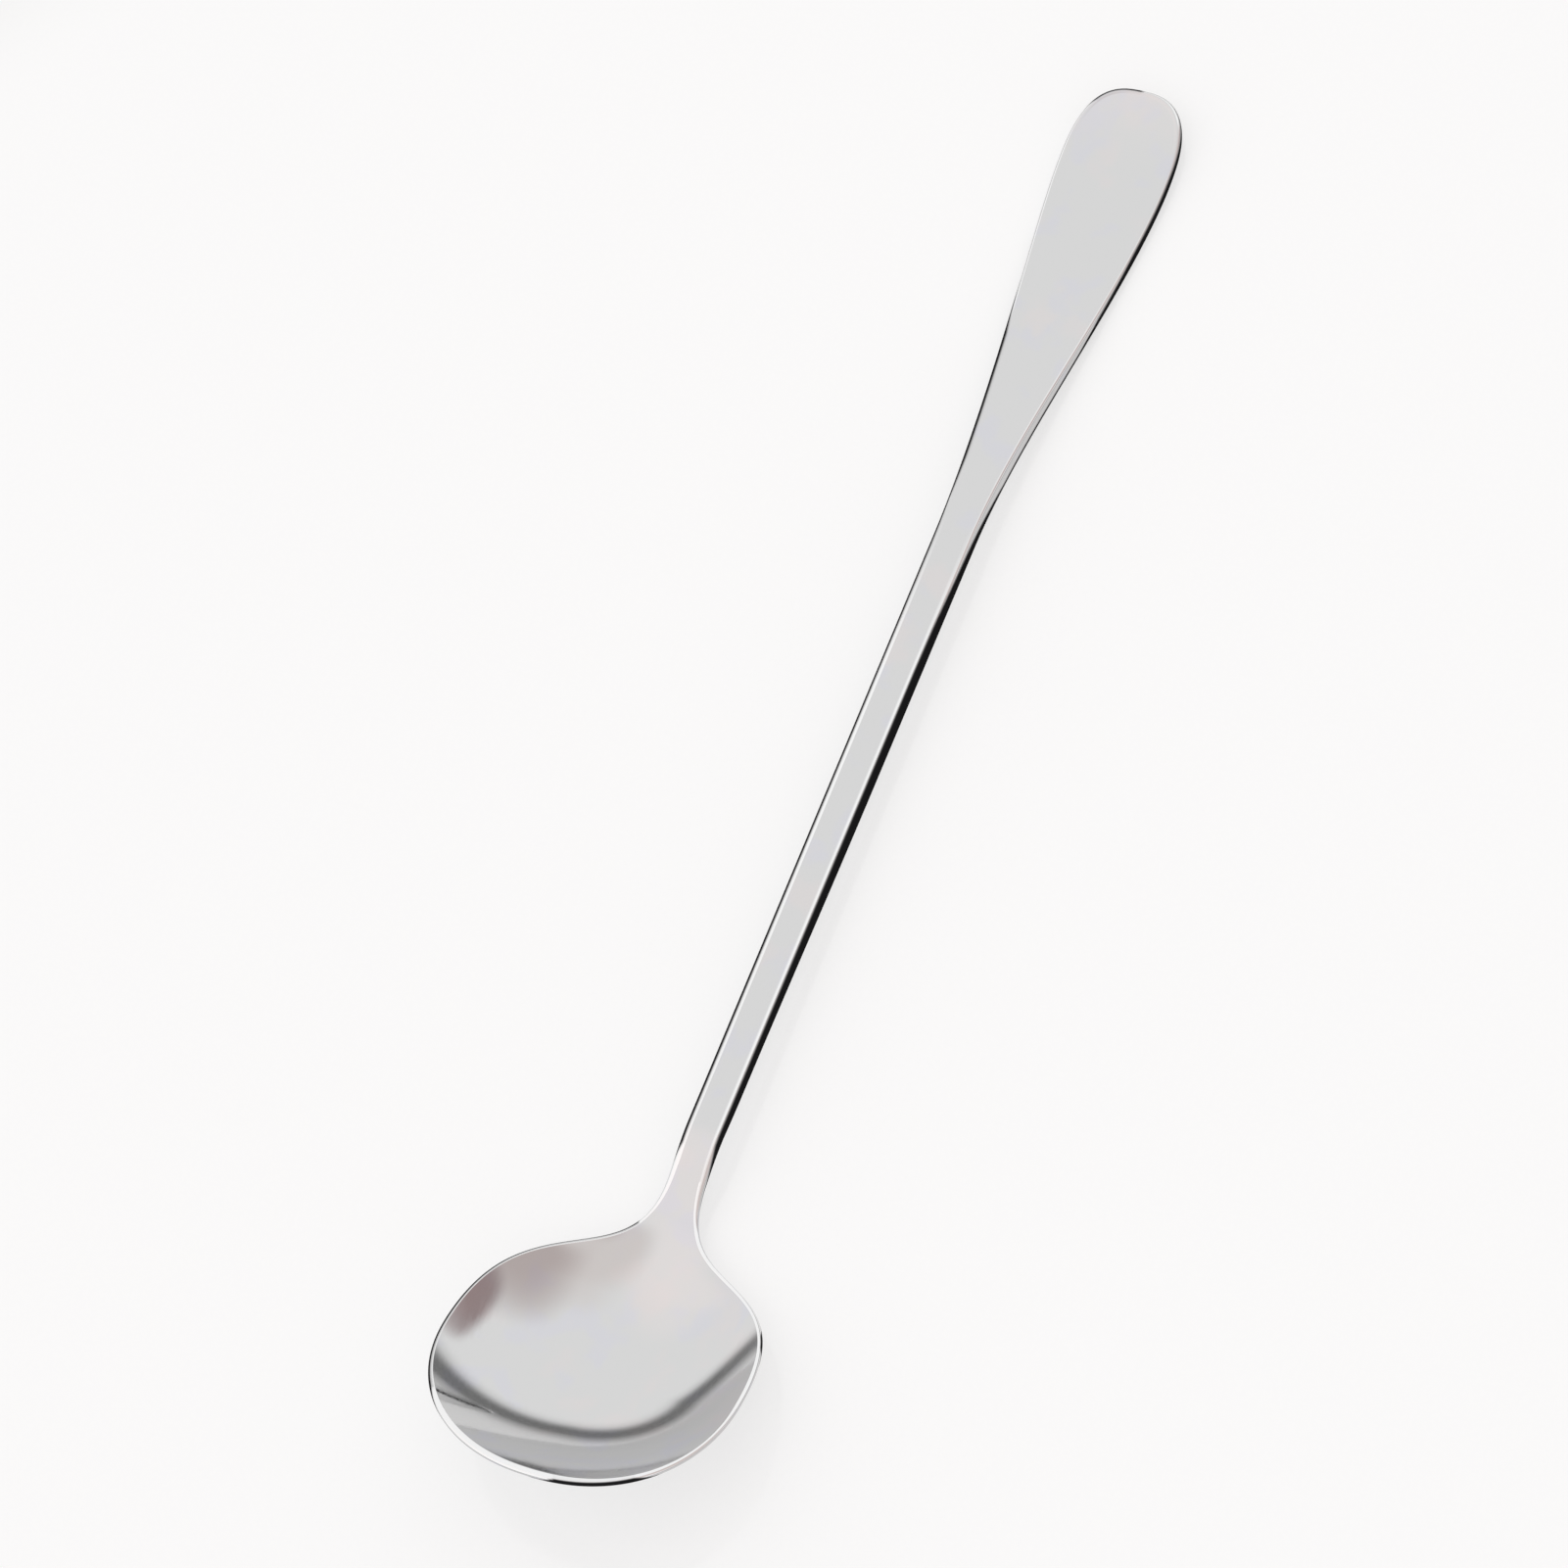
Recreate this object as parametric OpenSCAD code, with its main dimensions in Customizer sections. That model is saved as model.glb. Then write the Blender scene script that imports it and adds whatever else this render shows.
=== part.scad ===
// Long-handled teaspoon: a pressed bowl and a flat handle, butt-welded behind the neck and ground flush.
// The curves are drawn along the shaft: X runs from the bowl's tip to the end of the handle, with the
// neck at X = 0, Y runs across, and the flat top of the shaft is Z = 0.
// The finished spoon is then laid down, so that it rests on Z = 0 on the bowl's belly and on the paddle.

/* [Bowl] */
// Width across the outside of the rim
bowl_w = 34; // [28:0.5:42]
// Length from the tip to the neck
bowl_l = 40; // [36:0.5:48]
// Distance from the tip to the widest place
bowl_widest = 15.5; // [12:0.5:19]
// Squareness of the front outline, where 2 is an ellipse
tip_fullness = 2.17; // [2:0.01:2.6]
// Share of the shoulder's length over which the full width holds
shoulder_front = 0.76; // [0.5:0.01:0.95]
// Share of the shoulder's length over which the neck's width holds
shoulder_back = 0.55; // [0.3:0.01:0.8]
// Depth of the hollow below the rim
bowl_depth = 6.75; // [6:0.25:10]
// Distance from the tip to the deepest place
bowl_deepest = 15.5; // [14:0.5:20]
// Roundness of the hollow's front from the deepest place up to the tip, where 2 is a parabola
hollow_fullness = 2.5; // [2:0.1:3]
// Distance in front of the neck at which the hollow has run out
hollow_end = 4.5; // [1:0.5:7]
// Thickness of the floor at the deepest place
bowl_wall = 1; // [0.8:0.05:1.5]

/* [Rim] */
// Width of the flat lip along the sides of the hollow
rim_w = 0.45; // [0.35:0.05:0.8]
// Width of the flat lip at the tip
rim_tip_w = 0.9; // [0.5:0.05:1.5]
// Thickness of the rim at its edge
rim_t = 0.7; // [0.65:0.05:1.2]
// Angle between the line of the rim and the shaft, in degrees
rim_angle = 24.5; // [16:0.5:28]
// Distance in front of the neck at which the line of the rim meets the line of the shaft
rim_cross = 14.2; // [10:0.2:16]
// How far the rim bows below its own line at the tip
rim_bow = 2.8; // [0:0.1:4]

/* [Neck] */
// Distance in front of the neck at which the bend into the rim ends
bend_front = 15; // [10:0.5:20]
// Distance behind the neck at which the bend starts
bend_back = 6; // [3:0.2:9]
// Distance in front of the neck at which the metal has thinned to the rim
thin_front = 8; // [4:0.5:12]
// Distance behind the neck at which the metal has its neck thickness
thin_back = 11; // [6:0.5:11]
// Distance from the neck back to the weld
weld_back = 12; // [11:0.5:20]
// Length of the fused band of the weld
weld_l = 0.8; // [0.4:0.1:1.6]

/* [Handle] */
// Width of the shaft at the neck
neck_w = 4.3; // [3:0.1:5]
// Thickness of the shaft behind the neck
neck_t = 1.7; // [1.4:0.1:3]
// Width of the shaft where the flare starts
shaft_w = 4.7; // [3.4:0.1:6]
// Greatest thickness of the shaft
shaft_t = 2.3; // [1.6:0.1:3.4]
// Distance from the neck to the place where the shaft is at its thickest
shaft_thick_x = 50; // [40:1:70]
// Length from the neck to the start of the flare
shaft_l = 83; // [75:0.5:110]
// Length of the flare, from the shaft to the widest place of the paddle
flare_l = 54.5; // [35:0.5:70]
// Share of the flare's length over which the shaft's width holds
flare_front = 0.32; // [0.2:0.01:0.6]
// Share of the flare's length over which the paddle's width holds
flare_back = 0.22; // [0.1:0.01:0.5]
// Width of the paddle at its widest
paddle_w = 14.1; // [10:0.1:18]
// Length of the rounded end, past the widest place
end_l = 10.6; // [8:0.1:15]
// Squareness of the rounded end, where 2 is an ellipse
end_fullness = 2.7; // [2:0.05:3]
// Thickness of the paddle
paddle_t = 1.3; // [1:0.1:2]
// Pull of the curve by which the paddle sags below the shaft
paddle_sag = 5.5; // [0:0.25:8]
// Height of the rounded end below the shaft
end_drop = 0.5; // [0:0.1:3]
// Radius on the long edges
edge_r = 0.55; // [0.1:0.05:0.8]

/* [Hidden] */

steel = [0.80, 0.80, 0.81];
weld_steel = [0.76, 0.76, 0.78];

// Places along the shaft
x_tip = -bowl_l;
x_wide = bowl_widest - bowl_l;
x_deep = bowl_deepest - bowl_l;
x_hollow_end = -hollow_end;
x_weld = weld_back;
x_handle = weld_back + weld_l;
x_paddle = shaft_l + flare_l;

// Largest share of the metal's thickness that an edge radius takes up
corner_share = 0.45;
// Least width of the flat beside the hollow, in edge radii
flat_share = 1.25;
// Length over which the slope of the outline is taken
slope_step = 0.05;
// Half-width below which the hollow counts as closed
least_w = 0.001;

// Counts of stations along the outline and of points across the skin
front_n = 18;
shoulder_n = 26;
neck_n = 8;
shaft_n = 8;
flare_n = 26;
end_n = 12;
bowl_across_n = 9;
handle_across_n = 2;
corner_n = 3;
solve_n = 30;
settle_n = 6;

// A share from 0 to 1 that eases in and out between two places
function ease(from, to, x) =
    let (s = min(max((x - from) / (to - from), 0), 1))
    s * s * (3 - 2 * s);

// A cubic Bezier curve in one coordinate
function bezier(a, b, c, d, t) =
    a * (1 - t) ^ 3 + 3 * b * t * (1 - t) ^ 2 + 3 * c * t ^ 2 * (1 - t) + d * t ^ 3;

// The parameter at which a Bezier curve that rises from 0 to 1 reaches a share, by halving
function bezier_at(b, c, share, low = 0, high = 1, n = solve_n) =
    let (mid = (low + high) / 2)
    n == 0 ? mid :
    bezier(0, b, c, 1, mid) < share ? bezier_at(b, c, share, mid, high, n - 1) :
    bezier_at(b, c, share, low, mid, n - 1);

// A width that changes from one value to another along an S-shaped curve
function s_curve(from, to, hold_from, hold_to, share) =
    let (t = bezier_at(hold_from, 1 - hold_to, share))
    bezier(from, from, to, to, t);

// A quarter of a superellipse: half-width at a share of its length from the widest place
function quarter(half_w, share, fullness) =
    half_w * max(0, 1 - min(max(share, 0), 1) ^ fullness) ^ (1 / fullness);

function shaft_half_w(x) =
    (neck_w + (shaft_w - neck_w) * x / shaft_l) / 2;

// Half the width of the outline
function half_w(x) =
    x < x_wide ? quarter(bowl_w / 2, (x_wide - x) / bowl_widest, tip_fullness) :
    x < 0 ? s_curve(bowl_w / 2, neck_w / 2, shoulder_front, shoulder_back, 1 - x / x_wide) :
    x < shaft_l ? shaft_half_w(x) :
    x < x_paddle ? s_curve(shaft_w / 2, paddle_w / 2, flare_front, flare_back, (x - shaft_l) / flare_l) :
    quarter(paddle_w / 2, (x - x_paddle) / end_l, end_fullness);

// Half the width of the hollow, inside the lip
function hollow_half_w(x) =
    x < x_wide ? quarter(bowl_w / 2 - rim_w, (x_wide - x) / (bowl_widest - rim_tip_w), tip_fullness) :
    let (slope = (half_w(x + slope_step) - half_w(x)) / slope_step)
    half_w(x) - min(rim_w * sqrt(1 + slope ^ 2), half_w(x) / 2);

// Height of the rim, the shaft and the paddle along their top
function top_z(x) =
    let (q = rim_cross + x)
    let (bow = rim_bow / (bowl_l - rim_cross) ^ 2)
    let (rim = -tan(rim_angle) * q + bow * q * abs(q))
    let (v = max(0, (x - shaft_l) / (flare_l + end_l)))
    let (paddle = -bezier(0, 0, paddle_sag, end_drop, v))
    x < bend_back ? rim * (1 - ease(-bend_front, bend_back, x)) : paddle;

// Thickness of the metal at the outline
function edge_t(x) =
    rim_t + (neck_t - rim_t) * ease(-thin_front, thin_back, x)
    + (shaft_t - neck_t) * ease(thin_back, shaft_thick_x, x)
    + (paddle_t - shaft_t) * ease(shaft_l, x_paddle, x);

// Share of the hollow's depth along the middle line, from a front edge to the place where it runs out
function depth_share(x, x_front) =
    x < x_deep ? max(0, 1 - ((x_deep - x) / (x_deep - x_front)) ^ hollow_fullness) :
    x < x_hollow_end ? (1 - ((x - x_deep) / (x_hollow_end - x_deep)) ^ 2) ^ 2 :
    0;

// Share of the depth left at a place across the hollow
function across_share(y, half) =
    max(0, 1 - (abs(y) / max(half, least_w)) ^ tip_fullness);

function inside_z(x, y) =
    let (share = depth_share(x, x_tip + rim_tip_w))
    share == 0 ? top_z(x) : top_z(x) - bowl_depth * share * across_share(y, hollow_half_w(x));

function under_z(x, y) =
    let (share = depth_share(x, x_tip))
    let (belly = bowl_depth + bowl_wall - rim_t)
    share == 0 ? top_z(x) - edge_t(x) : top_z(x) - edge_t(x) - belly * share * across_share(y, half_w(x));

// A station is [outline point, lip point, place on the middle line], all in plan
function front_station(i) =
    let (a = 90 * i / front_n)
    let (along = cos(a) ^ (2 / tip_fullness))
    let (out = sin(a) ^ (2 / tip_fullness))
    let (x = x_wide - bowl_widest * along)
    [[x, bowl_w / 2 * out],
     [x_wide - (bowl_widest - rim_tip_w) * along, (bowl_w / 2 - rim_w) * out],
     bowl_middle(x)];

function side_station(x, middle) =
    [[x, half_w(x)], [x, hollow_half_w(x)], middle];

function end_station(i) =
    let (a = 90 * i / end_n)
    let (along = cos(a) ^ (2 / end_fullness))
    let (out = sin(a) ^ (2 / end_fullness))
    [[x_paddle + end_l * along, paddle_w / 2 * out],
     [x_paddle + (end_l - edge_r) * along, (paddle_w / 2 - edge_r) * out],
     x_paddle + end_l / 2 * along];

// Lines across the bowl fan out from its deepest place and straighten towards the neck
function bowl_middle(x) =
    let (x_square = x_wide / 2)
    x > x_square ? x : x_square - (x_square - x_deep) * (x_square - x) / (x_square - x_tip);

bowl_stations = [
    for (i = [0 : front_n]) front_station(i),
    for (i = [1 : shoulder_n]) let (x = x_wide * (1 - i / shoulder_n)) side_station(x, bowl_middle(x)),
    for (i = [1 : neck_n]) let (x = x_weld * i / neck_n) side_station(x, x)
];

handle_stations = [
    for (i = [0 : end_n]) end_station(i),
    for (i = [1 : flare_n]) let (x = x_paddle - flare_l * i / flare_n) side_station(x, x),
    for (i = [1 : shaft_n]) let (x = shaft_l + (x_handle - shaft_l) * i / shaft_n) side_station(x, x)
];

weld_stations = [side_station(x_weld, x_weld), side_station(x_handle, x_handle)];

// The skin over one station: across the top, round the edge and back across the underside
function half_section(station, across_n) =
    let (edge = station[0])
    let (lip_w = norm(edge - station[1]))
    let (mid = [station[2], 0])
    let (out = (edge - station[1]) / lip_w)
    let (t = edge_t(edge.x))
    let (r = min(edge_r, t * corner_share))
    let (lip = edge - out * max(lip_w, r * flat_share))
    let (inner = edge - out * r)
    let (z = top_z(edge.x))
    [
        for (i = [0 : across_n])
            let (s = sin(90 * i / across_n))
            let (p = mid + (lip - mid) * s)
            [p.x, p.y, inside_z(p.x, p.y)],
        for (i = [0 : corner_n])
            let (a = 90 * i / corner_n)
            let (p = edge - out * r * (1 - sin(a)))
            [p.x, p.y, z - r * (1 - cos(a))],
        for (i = [corner_n : -1 : 0])
            let (a = 90 * i / corner_n)
            let (p = edge - out * r * (1 - sin(a)))
            [p.x, p.y, i == 0 ? under_z(p.x, p.y) : z - t + r * (1 - cos(a))],
        for (i = [across_n - 1 : -1 : 0])
            let (s = sin(90 * i / across_n))
            let (p = mid + (inner - mid) * s)
            [p.x, p.y, under_z(p.x, p.y)]
    ];

function mirrored(points) =
    [for (p = points) [p.x, -p.y, p.z]];

// Faces turned to look the other way
function reversed(faces) =
    [for (f = faces) [for (i = [len(f) - 1 : -1 : 0]) f[i]]];

// Triangles that close one half of a flat cut, in pairs from the middle line out to the side
function cut_half(cols) = [
    for (k = [0 : floor(cols / 2) - 1])
        let (low = cols - 2 - k)
        each k + 1 == low ? [[k, low, low + 1]] : [[k, k + 1, low], [k, low, low + 1]]
];

// One closed skin over a row of half-sections, with both halves sharing the middle line.
// It stops at a flat cut, and starts at a round end or at another cut.
module closed_skin(sections, round_start, flip) {
    rows = len(sections);
    cols = len(sections[0]);
    half = [for (s = sections) each s];
    function at(side, j, k) =
        let (shared = side > 0 || k == 0 || k == cols - 1 || (round_start && j == 0))
        j * cols + k + (shared ? 0 : rows * cols);
    function cut(j) = [
        for (side = [1, -1])
            let (part = [for (f = cut_half(cols)) [for (k = f) at(side, j, k)]])
            each side > 0 ? part : reversed(part)
    ];
    skin = [
        for (side = [1, -1], j = [0 : rows - 2], k = [0 : cols - 2])
            let (a = at(side, j, k))
            let (b = at(side, j, k + 1))
            let (c = at(side, j + 1, k + 1))
            let (d = at(side, j + 1, k))
            let (pair = k < cols / 2 ? [[a, b, c], [a, c, d]] : [[a, b, d], [b, c, d]])
            each side > 0 ? pair : reversed(pair)
    ];
    faces = concat(skin, cut(rows - 1), round_start ? [] : reversed(cut(0)));
    polyhedron(concat(half, mirrored(half)), flip ? reversed(faces) : faces);
}

bowl_sections = [for (s = bowl_stations) half_section(s, bowl_across_n)];
weld_sections = [for (s = weld_stations) half_section(s, handle_across_n)];
handle_sections = [for (s = handle_stations) half_section(s, handle_across_n)];

// The lines along the underside on which the spoon comes to rest
bowl_belly = [for (s = bowl_sections) s[len(s) - 1]];
paddle_belly = [for (s = handle_sections) s[len(s) - 1]];

// The first of the points that lies lowest above a line of a given slope
function lowest(points, slope) =
    let (low = min([for (p = points) p.z - slope * p.x]))
    [for (p = points) if (p.z - slope * p.x <= low) p][0];

// Slope of the line that touches the bowl's belly and the paddle from below
function resting_slope(slope = 0, n = settle_n) =
    let (a = lowest(bowl_belly, slope))
    let (b = lowest(paddle_belly, slope))
    n == 0 ? slope : resting_slope((b.z - a.z) / (b.x - a.x), n - 1);

rest_angle = atan(resting_slope());

function turned(p) =
    [p.x * cos(rest_angle) + p.z * sin(rest_angle), p.z * cos(rest_angle) - p.x * sin(rest_angle)];

rest_points = [for (s = concat(bowl_sections, handle_sections), p = s) turned(p)];
rest_x = [for (p = rest_points) p.x];
rest_z = [for (p = rest_points) p.y];

// Lays the spoon down with the middle of its length at X = 0
module at_rest() {
    translate([-(min(rest_x) + max(rest_x)) / 2, 0, -min(rest_z)])
        rotate([0, rest_angle, 0])
            children();
}

module bowl() {
    color(steel)
        at_rest()
            closed_skin(bowl_sections, true, false);
}

module neck_weld() {
    color(weld_steel)
        at_rest()
            closed_skin(weld_sections, false, false);
}

module handle() {
    color(steel)
        at_rest()
            closed_skin(handle_sections, true, true);
}

bowl();
neck_weld();
handle();
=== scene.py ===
# %% [markdown]
# # A long-handled teaspoon
#
# The spoon is polished steel: a rounded bowl with a bent neck, and a flat bar that ends in a paddle, welded
# together just behind the neck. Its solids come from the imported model. This lesson draws the same forms
# again on finer grids, because a mirror finish shows every facet, and then gives them a finish, a floor,
# soft light and a camera.

import bpy
import numpy as np
from mathutils import Matrix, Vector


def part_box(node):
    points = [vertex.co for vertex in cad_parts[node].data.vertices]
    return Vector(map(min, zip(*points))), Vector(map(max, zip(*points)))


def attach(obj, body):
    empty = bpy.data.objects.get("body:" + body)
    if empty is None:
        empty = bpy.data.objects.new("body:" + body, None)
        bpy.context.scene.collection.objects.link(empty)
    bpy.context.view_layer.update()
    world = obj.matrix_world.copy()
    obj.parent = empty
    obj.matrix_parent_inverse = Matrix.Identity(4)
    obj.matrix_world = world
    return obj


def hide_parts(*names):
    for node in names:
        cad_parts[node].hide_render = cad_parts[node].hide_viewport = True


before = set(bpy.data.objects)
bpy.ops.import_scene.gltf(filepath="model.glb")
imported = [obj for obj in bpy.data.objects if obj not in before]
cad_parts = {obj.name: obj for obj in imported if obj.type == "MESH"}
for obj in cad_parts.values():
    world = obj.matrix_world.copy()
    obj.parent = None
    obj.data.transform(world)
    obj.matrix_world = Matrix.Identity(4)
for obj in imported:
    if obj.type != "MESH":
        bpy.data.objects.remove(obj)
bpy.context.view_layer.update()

print("solids:", sorted(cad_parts))

# %% [markdown]
# ## Sizes
#
# The curves are drawn along the shaft, in millimetres: x runs from the tip of the bowl to the end of the
# handle with the neck at 0, y runs across, and z is 0 on the flat top of the shaft. A maker would write
# these sizes on the drawing. The solids use the same ones, so the fine skins fit them without adjusting.

# %% Sizes of the bowl
MM = 0.001

BOWL_W = 34.0
BOWL_L = 40.0
BOWL_WIDEST = 15.5
TIP_FULLNESS = 2.17
SHOULDER_FRONT = 0.76
SHOULDER_BACK = 0.55
BOWL_DEPTH = 6.75
BOWL_DEEPEST = 15.5
HOLLOW_FULLNESS = 2.5
HOLLOW_END = 4.5
BOWL_WALL = 1.0

RIM_W = 0.45
RIM_TIP_W = 0.9
RIM_T = 0.7
RIM_ANGLE = np.radians(24.5)
RIM_CROSS = 14.2
RIM_BOW = 2.8

print("bowl: %.0f mm wide and %.0f mm long" % (BOWL_W, BOWL_L))

# %% Sizes of the neck, the shaft and the paddle
BEND_FRONT = 15.0
BEND_BACK = 6.0
THIN_FRONT = 8.0
THIN_BACK = 11.0
WELD_BACK = 12.0
WELD_L = 0.8

NECK_W = 4.3
NECK_T = 1.7
SHAFT_W = 4.7
SHAFT_T = 2.3
SHAFT_THICK_X = 50.0
SHAFT_L = 83.0
FLARE_L = 54.5
FLARE_FRONT = 0.32
FLARE_BACK = 0.22
PADDLE_W = 14.1
END_L = 10.6
END_FULLNESS = 2.7
PADDLE_T = 1.3
PADDLE_SAG = 5.5
END_DROP = 0.5
EDGE_R = 0.55

X_TIP = -BOWL_L
X_WIDE = BOWL_WIDEST - BOWL_L
X_DEEP = BOWL_DEEPEST - BOWL_L
X_HANDLE = WELD_BACK + WELD_L
X_PADDLE = SHAFT_L + FLARE_L

print("overall length along the shaft: %.1f mm" % (X_PADDLE + END_L - X_TIP))

# %% [markdown]
# ## The outline
#
# Seen from above, the bowl's front is a superellipse, its shoulder is an S-shaped curve down to the neck,
# the shaft widens a little, and a second S-shaped curve leads to the paddle, which ends in another
# superellipse. Spline handles could draw this too. Formulas were chosen because each one keeps a size that
# can be measured.

# %% Curves
SOLVE_STEPS = 30


def ease(start, stop, x):
    """A share from 0 to 1 between two places, level at both: 3 s squared minus 2 s cubed."""
    s = np.clip((x - start) / (stop - start), 0.0, 1.0)
    return s * s * (3.0 - 2.0 * s)


def bezier(a, b, c, d, t):
    """A cubic Bezier curve in one coordinate: four handles weighted by the Bernstein polynomials."""
    u = 1.0 - t
    return a * u**3 + 3.0 * b * t * u**2 + 3.0 * c * t**2 * u + d * t**3


def bezier_at(b, c, share):
    """The parameter where a Bezier curve from 0 to 1 reaches each share, found by halving the interval."""
    low = np.zeros_like(share)
    high = np.ones_like(share)
    for _ in range(SOLVE_STEPS):
        mid = (low + high) / 2.0
        short = bezier(0.0, b, c, 1.0, mid) < share
        low = np.where(short, mid, low)
        high = np.where(short, high, mid)
    return (low + high) / 2.0


def s_curve(start, stop, hold_start, hold_stop, share):
    """A width that goes from start to stop along a Bezier curve with level handles of given lengths."""
    t = bezier_at(hold_start, 1.0 - hold_stop, np.clip(share, 0.0, 1.0))
    return bezier(start, start, stop, stop, t)


def quarter(half, share, fullness):
    """A quarter of a superellipse: half times (1 - share^fullness)^(1/fullness)."""
    return half * np.maximum(0.0, 1.0 - np.clip(share, 0.0, 1.0) ** fullness) ** (1.0 / fullness)


print("an eased step, halfway: %.2f" % ease(0.0, 1.0, 0.5))

# %% Widths
SLOPE_STEP = 0.05
MEASURE_N = 401


def half_width(x):
    """Half the outline's width: front, shoulder, shaft, flare and end, each on its own stretch of x."""
    front = quarter(BOWL_W / 2, (X_WIDE - x) / BOWL_WIDEST, TIP_FULLNESS)
    shoulder = s_curve(BOWL_W / 2, NECK_W / 2, SHOULDER_FRONT, SHOULDER_BACK, 1.0 - x / X_WIDE)
    shaft = (NECK_W + (SHAFT_W - NECK_W) * x / SHAFT_L) / 2
    flare = s_curve(SHAFT_W / 2, PADDLE_W / 2, FLARE_FRONT, FLARE_BACK, (x - SHAFT_L) / FLARE_L)
    end = quarter(PADDLE_W / 2, (x - X_PADDLE) / END_L, END_FULLNESS)
    stretches = [x < X_WIDE, x < 0.0, x < SHAFT_L, x < X_PADDLE]
    return np.select(stretches, [front, shoulder, shaft, flare], end)


def hollow_half_width(x):
    """Half the hollow's width: the outline moved in by the lip's width, square to the outline."""
    front = quarter(BOWL_W / 2 - RIM_W, (X_WIDE - x) / (BOWL_WIDEST - RIM_TIP_W), TIP_FULLNESS)
    half = half_width(x)
    slope = (half_width(x + SLOPE_STEP) - half) / SLOPE_STEP
    behind = half - np.minimum(RIM_W * np.sqrt(1.0 + slope**2), half / 2)
    return np.where(x < X_WIDE, front, behind)


measured_x = np.linspace(X_TIP, 0.0, MEASURE_N)
print("widest place of the bowl: %.1f mm across" % (2 * half_width(measured_x).max()))

# %% [markdown]
# ## Heights
#
# From the side, the rim climbs towards the tip, bends level at the neck and runs into the straight shaft,
# and the paddle sags a little and lifts again. The metal is thin at the rim and thick along the shaft. The
# hollow is a smooth dish, whose depth fades to nothing at the lip, and the underside is a second dish. A
# sculpted surface would do for one picture, but formulas keep the wall between the two dishes even.

# %% Heights and thickness
def top_height(x):
    """Height of the top edge: a bowed slanting line, eased level at the neck, then a sagging curve."""
    q = RIM_CROSS + x
    bow = RIM_BOW / (BOWL_L - RIM_CROSS) ** 2
    rim = -np.tan(RIM_ANGLE) * q + bow * q * np.abs(q)
    v = np.maximum(0.0, (x - SHAFT_L) / (FLARE_L + END_L))
    paddle = -bezier(0.0, 0.0, PADDLE_SAG, END_DROP, v)
    return np.where(x < BEND_BACK, rim * (1.0 - ease(-BEND_FRONT, BEND_BACK, x)), paddle)


def edge_thickness(x):
    """Thickness at the outline: rim to neck, neck to shaft and shaft to paddle, each change eased."""
    neck = (NECK_T - RIM_T) * ease(-THIN_FRONT, THIN_BACK, x)
    shaft = (SHAFT_T - NECK_T) * ease(THIN_BACK, SHAFT_THICK_X, x)
    paddle = (PADDLE_T - SHAFT_T) * ease(SHAFT_L, X_PADDLE, x)
    return RIM_T + neck + shaft + paddle


tip_height = top_height(np.array(X_TIP))
print("tip of the bowl: %.1f mm above the shaft's top" % tip_height)

# %% The two dishes of the bowl
LEAST_W = 0.001


def depth_share(x, x_front):
    """Share of the depth on the middle line: 1 - s^fullness in front, a squared parabola behind."""
    front = 1.0 - np.clip((X_DEEP - x) / (X_DEEP - x_front), 0.0, 1.0) ** HOLLOW_FULLNESS
    back = (1.0 - np.clip((x - X_DEEP) / (-HOLLOW_END - X_DEEP), 0.0, 1.0) ** 2) ** 2
    return np.where(x < X_DEEP, front, back)


def across_share(y, half):
    """Share of the depth left at a distance from the middle line: 1 - (y / half)^fullness, not below 0."""
    return np.maximum(0.0, 1.0 - (np.abs(y) / np.maximum(half, LEAST_W)) ** TIP_FULLNESS)


def inside_height(x, y):
    """Height of the upper skin: the top edge minus the hollow's depth."""
    depth = BOWL_DEPTH * depth_share(x, X_TIP + RIM_TIP_W)
    return top_height(x) - depth * across_share(y, hollow_half_width(x))


def under_height(x, y):
    """Height of the lower skin: the top edge minus the thickness and minus the belly's depth."""
    depth = (BOWL_DEPTH + BOWL_WALL - RIM_T) * depth_share(x, X_TIP)
    return top_height(x) - edge_thickness(x) - depth * across_share(y, half_width(x))


hollow_depth = top_height(np.array(X_DEEP)) - inside_height(X_DEEP, 0.0)
print("floor of the hollow: %.1f mm below its rim" % hollow_depth)

# %% [markdown]
# ## One skin from a row of sections
#
# A section starts on the middle line of the top, crosses to the lip, goes round the two edge radii and
# comes back along the underside. Many such sections side by side are a grid of points, and the grid is the
# skin. A swept bevel curve could give the shaft, but not the bowl, so one grid method is used for all the
# pieces.

# %% Half of a skin
CORNER_SHARE = 0.45
FLAT_SHARE = 1.42
SIDE_N = 5


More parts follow.
